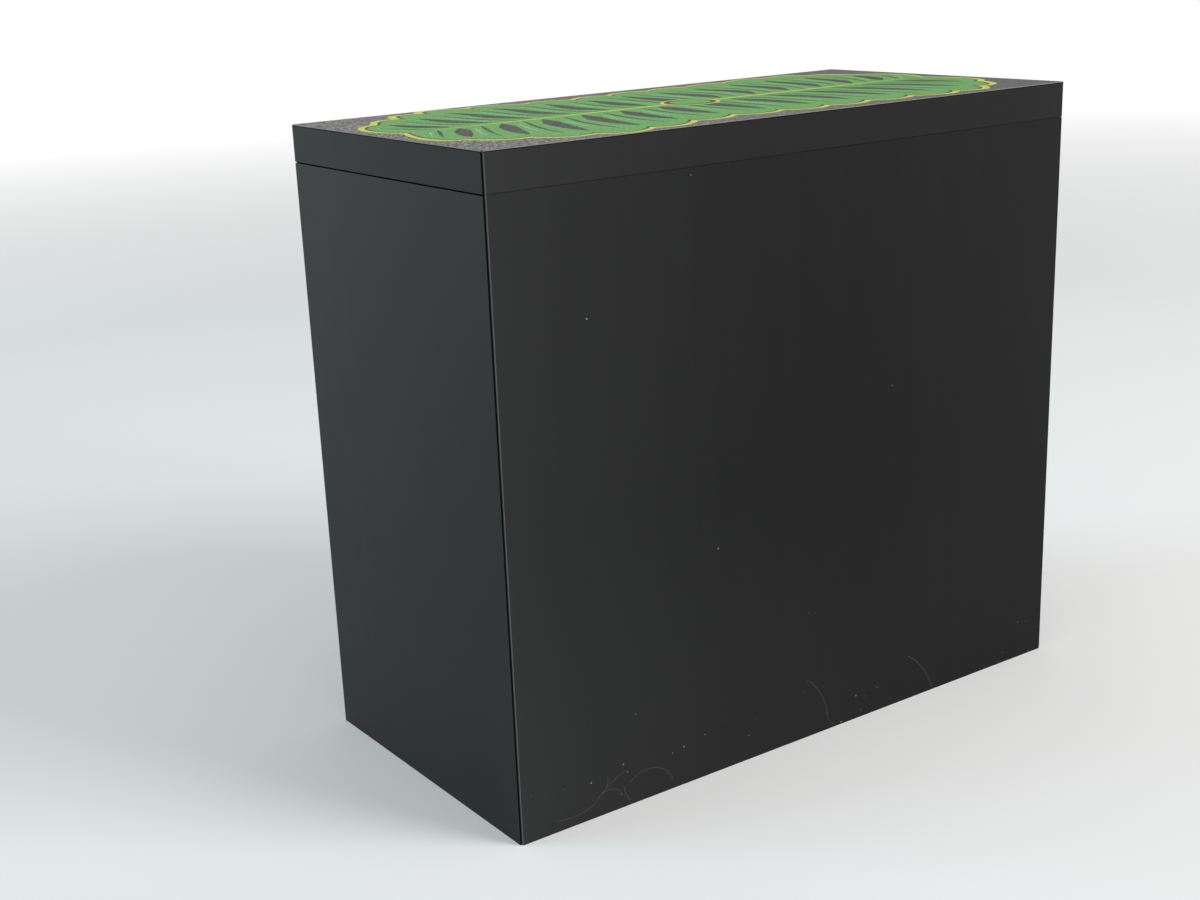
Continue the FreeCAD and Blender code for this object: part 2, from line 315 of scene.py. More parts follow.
class Tree:
    """A node tree that is being filled."""

    def __init__(self, tree):
        self.tree = tree

    def add(self, kind, inputs=None, **settings):
        """Adds a node, with its settings, and sets or joins the inputs that are named."""
        node = self.tree.nodes.new(kind)
        for name, value in settings.items():
            setattr(node, name, value)
        for key, value in (inputs or {}).items():
            self.give(node.inputs[key], value)
        return node

    def give(self, socket, value):
        """Joins a socket to another one, or sets it to a plain value."""
        if isinstance(value, bpy.types.NodeSocket):
            self.tree.links.new(value, socket)
        else:
            socket.default_value = value

    def maths(self, operation, first, second=0.0):
        """One step of arithmetic."""
        return self.add("ShaderNodeMath", {0: first, 1: second}, operation=operation).outputs[0]

    def weighted(self, first, second, share):
        """Two values added up, the first by its share and the second by the rest."""
        first = self.maths("MULTIPLY", first, share)
        return self.maths("ADD", first, self.maths("MULTIPLY", second, 1.0 - share))

    def ramp(self, value, low, high, at_low=0.0, at_high=1.0):
        """A straight ramp from one value to another, held at both ends."""
        inputs = {"Value": value, "From Min": low, "From Max": high, "To Min": at_low, "To Max": at_high}
        return self.add("ShaderNodeMapRange", inputs, clamp=True).outputs["Result"]

    def spread(self, noise, at_low, at_high):
        """Soft noise turned into a value between two others."""
        return self.ramp(noise, NOISE_LOW, NOISE_HIGH, at_low, at_high)

    def mix(self, share, first, second):
        """A colour between two others."""
        node = self.add("ShaderNodeMix", {"Factor": share}, data_type="RGBA")
        self.give(node.inputs[MIX_FIRST], first)
        self.give(node.inputs[MIX_SECOND], second)
        return node.outputs[MIX_RESULT]

    def axes(self, vector):
        """A vector's X, Y and Z."""
        return self.add("ShaderNodeSeparateXYZ", {"Vector": vector}).outputs

    def scaled(self, vector, factors):
        """A vector stretched by three factors."""
        return self.add("ShaderNodeVectorMath", {0: vector, 1: factors}, operation="MULTIPLY").outputs[0]

    def cells(self, vector, per_metre):
        """Random cells: how far a place is from its cell's point, and the cell's own random colour."""
        return self.add("ShaderNodeTexVoronoi", {"Vector": vector, "Scale": per_metre}).outputs

    def noise(self, vector, scale=1.0, detail=2.0, roughness=0.5):
        """Soft noise from 0 to 1."""
        inputs = {"Vector": vector, "Scale": scale, "Detail": detail, "Roughness": roughness}
        return self.add("ShaderNodeTexNoise", inputs).outputs["Fac"]

    def bump(self, height, strength, distance):
        """The normal of a surface with a relief."""
        inputs = {"Height": height, "Strength": strength, "Distance": distance}
        return self.add("ShaderNodeBump", inputs).outputs["Normal"]


def effect_group(name, inputs, outputs, fill):
    """A shader node group that takes a vector and named values, and gives named values."""
    group = bpy.data.node_groups.new(name, "ShaderNodeTree")
    group.interface.new_socket("Vector", in_out="INPUT", socket_type="NodeSocketVector")
    for label in inputs:
        group.interface.new_socket(label, in_out="INPUT", socket_type="NodeSocketFloat")
    for label in outputs:
        group.interface.new_socket(label, in_out="OUTPUT", socket_type="NodeSocketFloat")
    tree = Tree(group)
    source = tree.add("NodeGroupInput").outputs
    results = fill(tree, source)
    tree.add("NodeGroupOutput", dict(zip(outputs, results)))
    return group


def fill_dust(tree, source):
    """Sparse round specks: a cell of a random few holds one speck, at its point, of a random size."""
    cells = tree.cells(source["Vector"], source["Cells per metre"])
    chance = tree.add("ShaderNodeSeparateColor", {"Color": cells["Color"]}).outputs
    chosen = tree.maths("LESS_THAN", chance["Red"], source["Share"])
    size = tree.maths("MULTIPLY", source["Size"], tree.ramp(chance["Green"], 0.0, 1.0, SMALLEST_DUST))
    inside = tree.ramp(cells["Distance"], size, 0.0)
    edge = tree.ramp(inside, 0.0, DUST_RIM)
    return [tree.maths("MULTIPLY", chosen, edge)]


def fill_streaks(tree, source):
    """Fine parallel marks: noise that is drawn out along Z and narrow across it."""
    fine = tree.noise(tree.scaled(source["Vector"], FINE_MARKS))
    broad = tree.noise(tree.scaled(source["Vector"], BROAD_MARKS))
    return [tree.weighted(fine, broad, FINE_MARKS_SHARE)]


def fill_handling(tree, source):
    """Broad cloudy smudges where a satin surface has been held and wiped."""
    wide = tree.noise(source["Vector"], **WIDE_SMUDGES)
    small = tree.noise(source["Vector"], **SMALL_SMUDGES)
    return [tree.weighted(wide, small, WIDE_SMUDGES_SHARE)]


def fill_dust_and_sheen(tree, source):
    """Painted sheen on the front face alone: a pale tone that stands in for reflected light, with some
    dust.

    It grows to the left end as the square of the way there, and evenly down to the floor, where it fades
    from the middle to nothing at the right end.
    """
    place = tree.axes(source["Vector"])
    on_front = tree.maths("LESS_THAN", place["Y"], source["Front"])
    near_end = tree.ramp(place["X"], SHEEN_END_STARTS, -CASE_HALF_WIDTH)
    end = tree.maths("MULTIPLY", tree.maths("POWER", near_end, 2.0), SHEEN_END_SHARE)
    low = tree.ramp(place["Z"], LOW_SHEEN_AND_DUST_STARTS, 0.0, 0.0, LOW_SHEEN_AND_DUST_SHARE)
    low = tree.maths("MULTIPLY", low, tree.ramp(place["X"], CASE_HALF_WIDTH, 0.0))
    return [tree.maths("MULTIPLY", on_front, tree.maths("ADD", end, low))]


def fill_grain(tree, source):
    """A film's pebbled surface: rounded grains of many heights, the higher ones with a painted glint on the
    crown.
    """
    cells = tree.cells(source["Vector"], source["Pebbles per metre"])
    crown = tree.ramp(cells["Distance"], PEBBLE_RIM, PEBBLE_TOP)
    size = tree.add("ShaderNodeSeparateColor", {"Color": cells["Color"]}).outputs["Red"]
    ripple = tree.noise(source["Vector"], **RIPPLES)
    raised = tree.maths("MULTIPLY", crown, tree.ramp(size, 0.0, 1.0, LOWEST_PEBBLE))
    height = tree.weighted(raised, ripple, PEBBLE_SHARE)
    # A painted glint: the higher crowns are paler, as if they catch the light.
    share = tree.maths("MULTIPLY", crown, tree.maths("POWER", size, GLINT_CROWN_POWER))
    tone = tree.maths("MULTIPLY", share, tree.spread(ripple, DULLEST_CROWN, 1.0))
    return [height, tone]


def fill_corner(tree, source):
    """A mitred corner's step, with painted shade outside and a painted highlight inside, and the glue line
    behind it.

    The glue line is where a point is as far in from one outer face as from the other, within the wall.
    """
    place = tree.axes(source["Vector"])
    across = tree.maths("ABSOLUTE", place["X"])
    deep = tree.maths("ABSOLUTE", place["Y"])
    step = tree.maths("ADD", source["Notch"], ROUNDING_ROOM)
    in_x = tree.maths("GREATER_THAN", across, tree.maths("SUBTRACT", source["Half width"], step))
    in_y = tree.maths("GREATER_THAN", deep, tree.maths("SUBTRACT", source["Half depth"], step))
    inside = tree.maths("MULTIPLY", in_x, in_y)
    part = tree.maths("MULTIPLY", source["Notch"], source["Soiled share"])
    outer = tree.maths("GREATER_THAN", across, tree.maths("SUBTRACT", source["Half width"], part))
    painted_shade = tree.maths("MULTIPLY", inside, outer)
    from_end = tree.maths("SUBTRACT", source["Half width"], across)
    from_face = tree.maths("SUBTRACT", source["Half depth"], deep)
    apart = tree.maths("ABSOLUTE", tree.maths("SUBTRACT", from_end, from_face))
    in_wall = tree.maths("LESS_THAN", from_end, tree.maths("ADD", source["Wall"], ROUNDING_ROOM))
    joint = tree.maths("MULTIPLY", in_wall, tree.ramp(apart, source["Glue line"], 0.0))
    return [painted_shade, tree.maths("SUBTRACT", inside, painted_shade), joint]


def fill_sheet_edge(tree, source):
    """A thin sheet's border, for a painted highlight and painted shade: its softened upper edge and the
    side below.
    """
    place = tree.axes(source["Vector"])
    across = tree.maths("SUBTRACT", source["Half width"], tree.maths("ABSOLUTE", place["X"]))
    deep = tree.maths("SUBTRACT", source["Half depth"], tree.maths("ABSOLUTE", place["Y"]))
    near = tree.maths("LESS_THAN", tree.maths("MINIMUM", across, deep), source["Edge"])
    low = tree.maths("LESS_THAN", place["Z"], tree.maths("SUBTRACT", source["Top"], source["Edge"]))
    side = tree.maths("MULTIPLY", near, low)
    return [tree.maths("SUBTRACT", near, side), side]


def from_centre(tree, source):
    """A place's distance across and up from a named centre in the XZ plane, and its straight distance."""
    place = tree.axes(source["Vector"])
    x = tree.maths("SUBTRACT", place["X"], source["Centre X"])
    z = tree.maths("SUBTRACT", place["Z"], source["Centre Z"])
    squares = tree.maths("ADD", tree.maths("MULTIPLY", x, x), tree.maths("MULTIPLY", z, z))
    return x, z, tree.maths("SQRT", squares)


def fill_lint(tree, source):
    """A hair that lies along an arc of a circle in the XZ plane: near the circle, and within its angle."""
    x, z, reach = from_centre(tree, source)
    turn = tree.maths("RADIANS", source["Middle angle"])
    cosine = tree.maths("COSINE", turn)
    sine = tree.maths("SINE", turn)
    along = tree.maths("ADD", tree.maths("MULTIPLY", x, cosine), tree.maths("MULTIPLY", z, sine))
    aside = tree.maths("SUBTRACT", tree.maths("MULTIPLY", z, cosine), tree.maths("MULTIPLY", x, sine))
    off = tree.maths("ABSOLUTE", tree.maths("SUBTRACT", reach, source["Radius"]))
    near = tree.ramp(off, source["Half width"], 0.0)
    angle = tree.maths("ABSOLUTE", tree.maths("ARCTAN2", aside, along))
    limit = tree.maths("RADIANS", source["Half angle"])
    return [tree.maths("MULTIPLY", near, tree.maths("LESS_THAN", angle, limit))]


def fill_speck(tree, source):
    """One speck of dust: near its own place in the XZ plane, with a soft rim."""
    x, z, reach = from_centre(tree, source)
    return [tree.ramp(tree.maths("DIVIDE", reach, source["Half width"]), 1.0, SPECK_CORE)]


DUST = effect_group("dust", ["Cells per metre", "Size", "Share"], ["Mask"], fill_dust)
STREAKS = effect_group("streaks", [], ["Amount"], fill_streaks)
HANDLING = effect_group("handling", [], ["Amount"], fill_handling)
# Painted sheen: a pale tone on the front that stands in for reflected light, with some dust.
DUST_AND_SHEEN = effect_group("dust_and_sheen", ["Front"], ["Amount"], fill_dust_and_sheen)
GRAIN = effect_group("grain", ["Pebbles per metre"], ["Height", "Painted glint"], fill_grain)
# The corner step's masks: painted shade, a painted highlight, and the glue line.
CORNER = effect_group(
    "corner_step",
    ["Half width", "Half depth", "Notch", "Soiled share", "Wall", "Glue line"],
    ["Soil", "Painted highlight", "Joint"],
    fill_corner,
)
SHEET_EDGE = effect_group(
    "sheet_edge",
    ["Half width", "Half depth", "Top", "Edge"],
    ["Upper edge", "Side"],
    fill_sheet_edge,
)
LINT = effect_group(
    "lint_hair",
    ["Centre X", "Centre Z", "Radius", "Middle angle", "Half angle", "Half width"],
    ["Mask"],
    fill_lint,
)
SPECK = effect_group("single_speck", ["Centre X", "Centre Z", "Half width"], ["Mask"], fill_speck)


def effect(tree, group, **inputs):
    """Places a shared effect in a material with that material's own values."""
    node = tree.add("ShaderNodeGroup", node_tree=group)
    for name, value in inputs.items():
        tree.give(node.inputs[name.replace("_", " ")], value)
    return node.outputs


def empty_tree(owner):
    """The node tree of a new material or world, cleared."""
    owner.use_nodes = True
    owner.node_tree.nodes.clear()
    return Tree(owner.node_tree)


def new_material(name):
    """A material with its Principled shader joined to the output."""
    material = bpy.data.materials.new(name)
    tree = empty_tree(material)
    shader = tree.add("ShaderNodeBsdfPrincipled")
    tree.add("ShaderNodeOutputMaterial", {"Surface": shader.outputs["BSDF"]})
    place = tree.add("ShaderNodeTexCoord").outputs["Object"]
    return material, tree, shader, place


def arc_through(start, middle, end):
    """The circle through three points, as its centre, its radius, and its middle and half angle in degrees.

    The centre is where the lines that halve the two chords at right angles meet.
    """
    start, middle, end = Vector(start), Vector(middle), Vector(end)
    first = middle - start
    second = end - start
    cross = 2.0 * (first.x * second.y - first.y * second.x)
    from_start = Vector((
        (second.y * first.length_squared - first.y * second.length_squared) / cross,
        (first.x * second.length_squared - second.x * first.length_squared) / cross,
    ))
    centre = start + from_start
    spoke = middle - centre
    before = spoke.angle_signed(start - centre)
    after = spoke.angle_signed(end - centre)
    middle_angle = math.atan2(spoke.y, spoke.x) - (before + after) / 2.0
    half_angle = abs(after - before) / 2.0
    return centre, spoke.length, math.degrees(middle_angle), math.degrees(half_angle)


def lint_mask(tree, place, start, middle, end):
    """Where one hair lies, from three of its points in mm."""
    centre, radius, middle_angle, half_angle = arc_through(start, middle, end)
    return effect(
        tree,
        LINT,
        Vector=place,
        Centre_X=centre.x * MM,
        Centre_Z=centre.y * MM,
        Radius=radius * MM,
        Middle_angle=middle_angle,
        Half_angle=half_angle,
        Half_width=LINT_HALF_WIDTH,
    )["Mask"]


def speck_mask(tree, place, spot, half_width):
    """Where one speck lies, from its place in mm."""
    across, up = spot
    centre = {"Centre_X": across * MM, "Centre_Z": up * MM}
    return effect(tree, SPECK, Vector=place, Half_width=half_width, **centre)["Mask"]


def with_caught_lint(tree, place, colour):
    """The front's colour with its hairs and single specks laid over it."""
    for hair in LINT_HAIRS:
        colour = tree.mix(lint_mask(tree, place, *hair), colour, LINT_COLOUR)
    for half_width, spots in ((LARGE_SPECK, LARGE_SPECKS), (SMALL_SPECK, SMALL_SPECKS)):
        for spot in spots:
            colour = tree.mix(speck_mask(tree, place, spot, half_width), colour, DUST_COLOUR)
    return colour


def satin_acrylic(name, marks_depth, reflection, with_lint=False):
    """Black satin acrylic: fine marks, smudges, dust, painted sheen, and painted shade and highlight at
    corners.
    """
    material, tree, shader, place = new_material(name)
    streaks = effect(tree, STREAKS, Vector=place)["Amount"]
    smudges = effect(tree, HANDLING, Vector=place)["Amount"]
    dust = effect(tree, DUST, Vector=place, **SPARSE_DUST)["Mask"]
    corner = effect(
        tree,
        CORNER,
        Vector=place,
        Half_width=CASE_HALF_WIDTH,
        Half_depth=CASE_HALF_DEPTH,
        Notch=CORNER_NOTCH,
        Soiled_share=SHADED_SHARE,
        Wall=WALL,
        Glue_line=GLUE_LINE,
    )
    low_dust = effect(tree, DUST, Vector=place, **FLOOR_DUST)["Mask"]
    lowness = tree.ramp(tree.axes(place)["Z"], FLOOR_DUST_ENDS, FLOOR_DUST_FULL, 0.0, FLOOR_DUST_SHARE)
    specks = tree.maths("MAXIMUM", dust, tree.maths("MULTIPLY", low_dust, lowness))
    tone = tree.spread(streaks, 1.0 - marks_depth, 1.0 + marks_depth)
    colour = tree.add("ShaderNodeVectorMath", {0: ACRYLIC_BLACK[:3], "Scale": tone}, operation="SCALE")
    # Painted sheen on the front, paler towards the left end and the bottom, standing in for reflected
    # light, with some dust.
    dust_and_sheen = effect(tree, DUST_AND_SHEEN, Vector=place, Front=FACE_SKIN - CASE_HALF_DEPTH)["Amount"]
    colour = tree.mix(dust_and_sheen, colour.outputs[0], ACRYLIC_SHEEN_PALE)
    colour = tree.mix(specks, colour, DUST_COLOUR)
    if with_lint:
        colour = with_caught_lint(tree, place, colour)
    colour = tree.mix(corner["Joint"], colour, PAINTED_SHADE_AND_GLUE)
    # A painted highlight on the inner part of the corner step, and painted shade on its outer part.
    colour = tree.mix(corner["Painted highlight"], colour, ACRYLIC_SHEEN_PALE)
    colour = tree.mix(corner["Soil"], colour, PAINTED_SHADE_AND_GLUE)
    rough = tree.spread(smudges, *SATIN_ROUGHNESS)
    rough = tree.maths("ADD", rough, tree.spread(streaks, -MARKS_ROUGHNESS, MARKS_ROUGHNESS))
    rough = tree.maths("MAXIMUM", rough, tree.maths("MULTIPLY", specks, DUST_ROUGHNESS))
    rough = tree.maths("MAXIMUM", rough, corner["Soil"])
    marks_relief = tree.maths("MULTIPLY", streaks, MARKS_RELIEF)
    relief = tree.maths("ADD", marks_relief, tree.maths("MULTIPLY", specks, DUST_RELIEF))
    tree.give(shader.inputs["Base Color"], colour)
    tree.give(shader.inputs["Roughness"], rough)
    tree.give(shader.inputs["IOR"], ACRYLIC_IOR)
    tree.give(shader.inputs["Specular IOR Level"], reflection)
    tree.give(shader.inputs["Normal"], tree.bump(relief, SATIN_BUMP, SATIN_BUMP_DEPTH))
    return material


def grained_print(name, dark, pale, roughness, with_edge=False):
    """A printed film or ink: a pebbled surface with a painted glint on its crowns, and a little dust."""
    material, tree, shader, place = new_material(name)
    grain = effect(tree, GRAIN, Vector=place, Pebbles_per_metre=GRAINS_PER_METRE)
    smudges = effect(tree, HANDLING, Vector=place)["Amount"]
    dust = effect(tree, DUST, Vector=place, **FILM_DUST)["Mask"]
    across = tree.axes(place)["X"]
    # Painted light across the lid: the crowns' glint is strong at the left end and faint at the right.
    glint_across = tree.ramp(across, -CASE_HALF_WIDTH, CASE_HALF_WIDTH, GLINT_AT_LEFT, GLINT_AT_RIGHT)
    share = tree.maths("MULTIPLY", grain["Painted glint"], tree.spread(smudges, *SMUDGED_CROWNS))
    share = tree.maths("MULTIPLY", share, glint_across)
    colour = tree.mix(share, dark, pale)
    colour = tree.mix(dust, colour, DUST_COLOUR)
    rough = tree.ramp(grain["Painted glint"], 0.0, 1.0, roughness + PIT_ROUGHER, roughness - CROWN_SMOOTHER)
    relief = grain["Height"]
    if with_edge:
        edge = effect(
            tree,
            SHEET_EDGE,
            Vector=place,
            Half_width=CASE_HALF_WIDTH,
            Half_depth=CASE_HALF_DEPTH,
            Top=LID_TOP,
            Edge=FILM_SOFTENED,
        )
        # A painted highlight on the film's softened upper edge, and painted shade on its side below that.
        colour = tree.mix(edge["Upper edge"], colour, FILM_EDGE_HIGHLIGHT)
        colour = tree.mix(edge["Side"], colour, PAINTED_SHADE_AND_GLUE)
        rough = tree.maths("MAXIMUM", rough, edge["Side"])
        flat = tree.maths("SUBTRACT", 1.0, tree.maths("ADD", edge["Upper edge"], edge["Side"]))
        relief = tree.maths("MULTIPLY", relief, flat)
    tree.give(shader.inputs["Base Color"], colour)
    tree.give(shader.inputs["Roughness"], rough)
    tree.give(shader.inputs["IOR"], FILM_IOR)
    tree.give(shader.inputs["Specular IOR Level"], FILM_REFLECTION)
    tree.give(shader.inputs["Normal"], tree.bump(relief, 1.0, GRAIN_DEPTH))
    return material


def nickel_plate():
    """Bright nickel on the magnets, with fine rubbing marks where the lid has pressed on them."""
    material, tree, shader, place = new_material("nickel_plate")
    marks = tree.noise(tree.scaled(place, RUBBING_MARKS), detail=RUBBING_DETAIL)
    smudges = effect(tree, HANDLING, Vector=place)["Amount"]
    colour = tree.mix(tree.ramp(marks, *NICKEL_WEAR), NICKEL, NICKEL_RUBBED)
    rough = tree.ramp(marks, *NICKEL_MARKS, *NICKEL_ROUGHNESS)
    rough = tree.maths("ADD", rough, tree.spread(smudges, 0.0, NICKEL_SMUDGED))
    tree.give(shader.inputs["Base Color"], colour)
    tree.give(shader.inputs["Roughness"], rough)
    tree.give(shader.inputs["Metallic"], 1.0)
    tree.give(shader.inputs["Normal"], tree.bump(marks, NICKEL_BUMP, NICKEL_BUMP_DEPTH))
    return material


def dress(node, material):
    """Gives a piece of the frame its material."""
    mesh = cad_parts[node].data
    mesh.materials.clear()
    mesh.materials.append(material)


def dress_frame():
    """Chooses a material for every piece of the frame."""
    wall = satin_acrylic("satin_acrylic_case", CASE_MARKS, END_REFLECTION)
    front = satin_acrylic("satin_acrylic_front", CASE_MARKS, FRONT_REFLECTION, with_lint=True)
    lid = satin_acrylic("satin_acrylic_lid", LID_MARKS, LID_REFLECTION)
    film = grained_print("grained_film", FILM_DARK, FILM_GLINT, FILM_ROUGHNESS, with_edge=True)
    nickel = nickel_plate()
    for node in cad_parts:
        if "magnet" in node:
            dress(node, nickel)
        elif node == "lid_print_film":
            dress(node, film)
        elif node == "front_panel":
            dress(node, front)
        else:
            dress(node, lid if node.startswith("lid_") else wall)


def blunt(way, powers):
    """A curve that falls from 1 to 0: 1 less one power of the way there, and all that to another power."""
    inner, outer = powers
    return (1.0 - way**inner) ** outer


def leaf_reach(s):
    """How far the leaf reaches from its stem at each place along it, as a share of its half height.

    It keeps nearly the same reach for most of its length, with a little more half way out, and closes
    quickly at the ends. A slow wave on top of that makes no two lobes the same.
    """
    along = np.clip(np.abs(s) / LEAF_HALF_LENGTH, 0.0, 1.0)
    swell = 1.0 - LEAF_SWELL + LEAF_SWELL * np.sin(np.pi * along) ** 2
    wave = 1.0 + LEAF_WAVE * np.sin(s / LEAF_WAVE_STEP + LEAF_WAVE_START)
    return swell * blunt(along, LEAF_TIP) * wave


def leaf_edge(s):
    """The leaf's own edge: its reach, cut into rounded, pointed lobes, and below the stem past its ends."""
    offset = np.abs(2.0 * np.mod(s / LOBE_PITCH, 1.0) - 1.0)
    edge = leaf_reach(s) * (1.0 - LOBE_DEPTH + LOBE_DEPTH * blunt(offset, LOBE_TIP))
    return np.where(np.abs(s) > LEAF_HALF_LENGTH, -1.0, edge)


def grown_edge(s, growth):
    """The leaf's edge moved outwards by a distance, like the path of a disc that rolls along it."""
    steps = np.linspace(-1.0, 1.0, EDGE_STEPS)
    lifts = np.sqrt(1.0 - steps**2) * growth / LEAF_HALF_HEIGHT
    reach = [leaf_edge(s + step * growth) + lift for step, lift in zip(steps, lifts)]
    return np.maximum(np.max(reach, axis=0), 0.0)


def on_lid(s, t):
    """A place on the lid for a place along the stem and a signed share of the half height.

    Lobes lean towards the nearer end, by more the further out they start, and sway a little.
    """
    out = np.abs(t)
    share = s / LEAF_HALF_LENGTH
    lean = LEAF_LEAN * share * out**LEAN_POWER
    full = np.clip(share / SWAY_FULL_FROM, -1.0, 1.0)
    sway = LEAF_SWAY * np.sin(SWAY_TURN * out + SWAY_DIFFERENCE * t) * full
    return s + lean + sway, LEAF_HALF_HEIGHT * t


def slab(x, y, top):
    """Vertices and faces of a thin closed slab over a grid of points in plan, rooted in the film.

    The top is the grid at its level, the underside the same grid at the root, turned over, and the side a
    band of quads between the two borders.
    """
    rows, columns = x.shape
    flat = np.stack([x.ravel(), y.ravel()], axis=1)
    count = len(flat)
    upper = np.column_stack([flat, np.full(count, top)])
    lower = np.column_stack([flat, np.full(count, PRINT_ROOT)])
    index = np.arange(count).reshape(rows, columns)
    a, b, c, d = index[:-1, :-1], index[1:, :-1], index[1:, 1:], index[:-1, 1:]
    cover = np.stack([a, b, c, d], axis=-1).reshape(-1, 4)
    rim = np.concatenate([index[:, 0], index[-1, 1:], index[-2::-1, -1], index[0, -2:0:-1]])
    follow = np.roll(rim, -1)
    side = np.stack([rim, rim + count, follow + count, follow], axis=-1)
    return np.vstack([upper, lower]), np.vstack([cover, cover[:, ::-1] + count, side])


def leaf_slab(growth, top):
    """The whole leaf, grown by a distance, as one slab: columns along the stem, rows across it."""
    reach = LEAF_HALF_LENGTH + growth
    columns = 2 * LOBES_PER_SIDE * LEAF_COLUMNS_PER_LOBE + 1
    s = np.linspace(-reach, reach, columns)[:, None]
    v = np.linspace(-1.0, 1.0, LEAF_ROWS)[None, :]
    x, y = on_lid(s, grown_edge(s, growth) * v)
    return slab(x, y, top)


def blade_slab(start, low, high, width, top):
    """A blade that rises from beside the stem: its place along it, both ends and its half width.

    The half width grows quickly from the root, keeps most of its size and falls to nothing at the tip.
    """
    u = np.linspace(0.0, 1.0, BLADE_COLUMNS)[:, None]
    v = np.linspace(-1.0, 1.0, BLADE_ROWS)[None, :]
    half = width * np.minimum(BLADE_ROOT + BLADE_GROWTH * u, 1.0) * blunt(u, BLADE_TIP)
    x, y = on_lid(start + half * v, low + (high - low) * u + 0.0 * v)
    return slab(x, y, top)


def stem_slab(width, top):
    """The stem: a line along the leaf's middle that thins to nothing at both ends."""
    share = np.linspace(-1.0, 1.0, STEM_COLUMNS)[:, None]
    v = np.linspace(-1.0, 1.0, STEM_ROWS)[None, :]
    half = width * blunt(np.abs(share), STEM_TIP)
    return slab(STEM_REACH * LEAF_HALF_LENGTH * share + 0.0 * v, half * v, top)


def disc_slab(radius, top):
    """A round disc at the lid's middle, as a grid of chords."""
    turn = np.linspace(0.0, np.pi, DISC_COLUMNS)[:, None]
    v = np.linspace(-1.0, 1.0, DISC_ROWS)[None, :]
    return slab(radius * np.cos(turn) + 0.0 * v, radius * np.sin(turn) * v, top)


def tidy_faces(mesh):
    """Merges points that fall together, drops faces with no area and points the rest outwards."""
    work = bmesh.new()
    work.from_mesh(mesh)
    bmesh.ops.remove_doubles(work, verts=work.verts, dist=SAME_POINT)
    bmesh.ops.dissolve_degenerate(work, edges=work.edges, dist=SAME_POINT)
    bmesh.ops.recalc_face_normals(work, faces=work.faces)
    work.to_mesh(mesh)
    work.free()


def mesh_piece(name, slabs, material, body):
    """One piece made of several slabs, which rides on a body and takes a slot's finish."""
    vertices, faces, start = [], [], 0
    for points, quads in slabs:
        vertices.append(points)
        faces.append(quads + start)
        start += len(points)
    mesh = bpy.data.meshes.new(name)
    mesh.from_pydata(np.vstack(vertices).tolist(), [], np.vstack(faces).tolist())
    mesh.validate()
    piece = bpy.data.objects.new(name, mesh)
    bpy.context.scene.collection.objects.link(piece)
    tidy_faces(mesh)
    mesh.materials.append(material)
    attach(piece, body)


def ink_level(ink):
    """How high an ink's face stands."""
    return LID_TOP + INK * (INK_ORDER.index(ink) + 1)


def on_both_flanks(place, low, high, half_width):
    """Two like blades, one on each side of the stem."""
    level = ink_level("marks")
    return [blade_slab(place, flank * low, flank * high, half_width, level) for flank in (-1.0, 1.0)]


def leaf_gaps():
    """The dark gaps between the lobes."""
    gaps = []
    for index in range(1 - LOBES_PER_SIDE, LOBES_PER_SIDE):
        place = index * LOBE_PITCH * GAP_DRAWN_IN
        gaps += on_both_flanks(place, GAP_ROOT, GAP_REACH * leaf_reach(place), GAP_HALF_WIDTH)
    return gaps


def lobe_middles():
    """Each lobe's middle along the stem, which way the nearer end is, and the leaf's reach there."""
    for index in range(-LOBES_PER_SIDE, LOBES_PER_SIDE):
        middle = (index + 0.5) * LOBE_PITCH
        yield middle, math.copysign(1.0, middle), leaf_reach(middle)


def leaf_veins():
    """A dark vein in each lobe, on the side of its middle that is nearer to the lid's middle."""
    veins = []
    for middle, outwards, reach in lobe_middles():
        place = middle - outwards * BESIDE_MIDDLE
        veins += on_both_flanks(place, VEIN_ROOT, VEIN_REACH * reach, VEIN_HALF_WIDTH)
    return veins


def leaf_highlights():
    """A painted highlight in each lobe: a pale streak on the side of its middle that is nearer to the
    leaf's end.
    """
    streaks = []
    for middle, outwards, reach in lobe_middles():
        place = middle + outwards * BESIDE_MIDDLE
        streaks += on_both_flanks(place, HIGHLIGHT_ROOT * reach, HIGHLIGHT_REACH * reach, HIGHLIGHT_HALF_WIDTH)
    return streaks


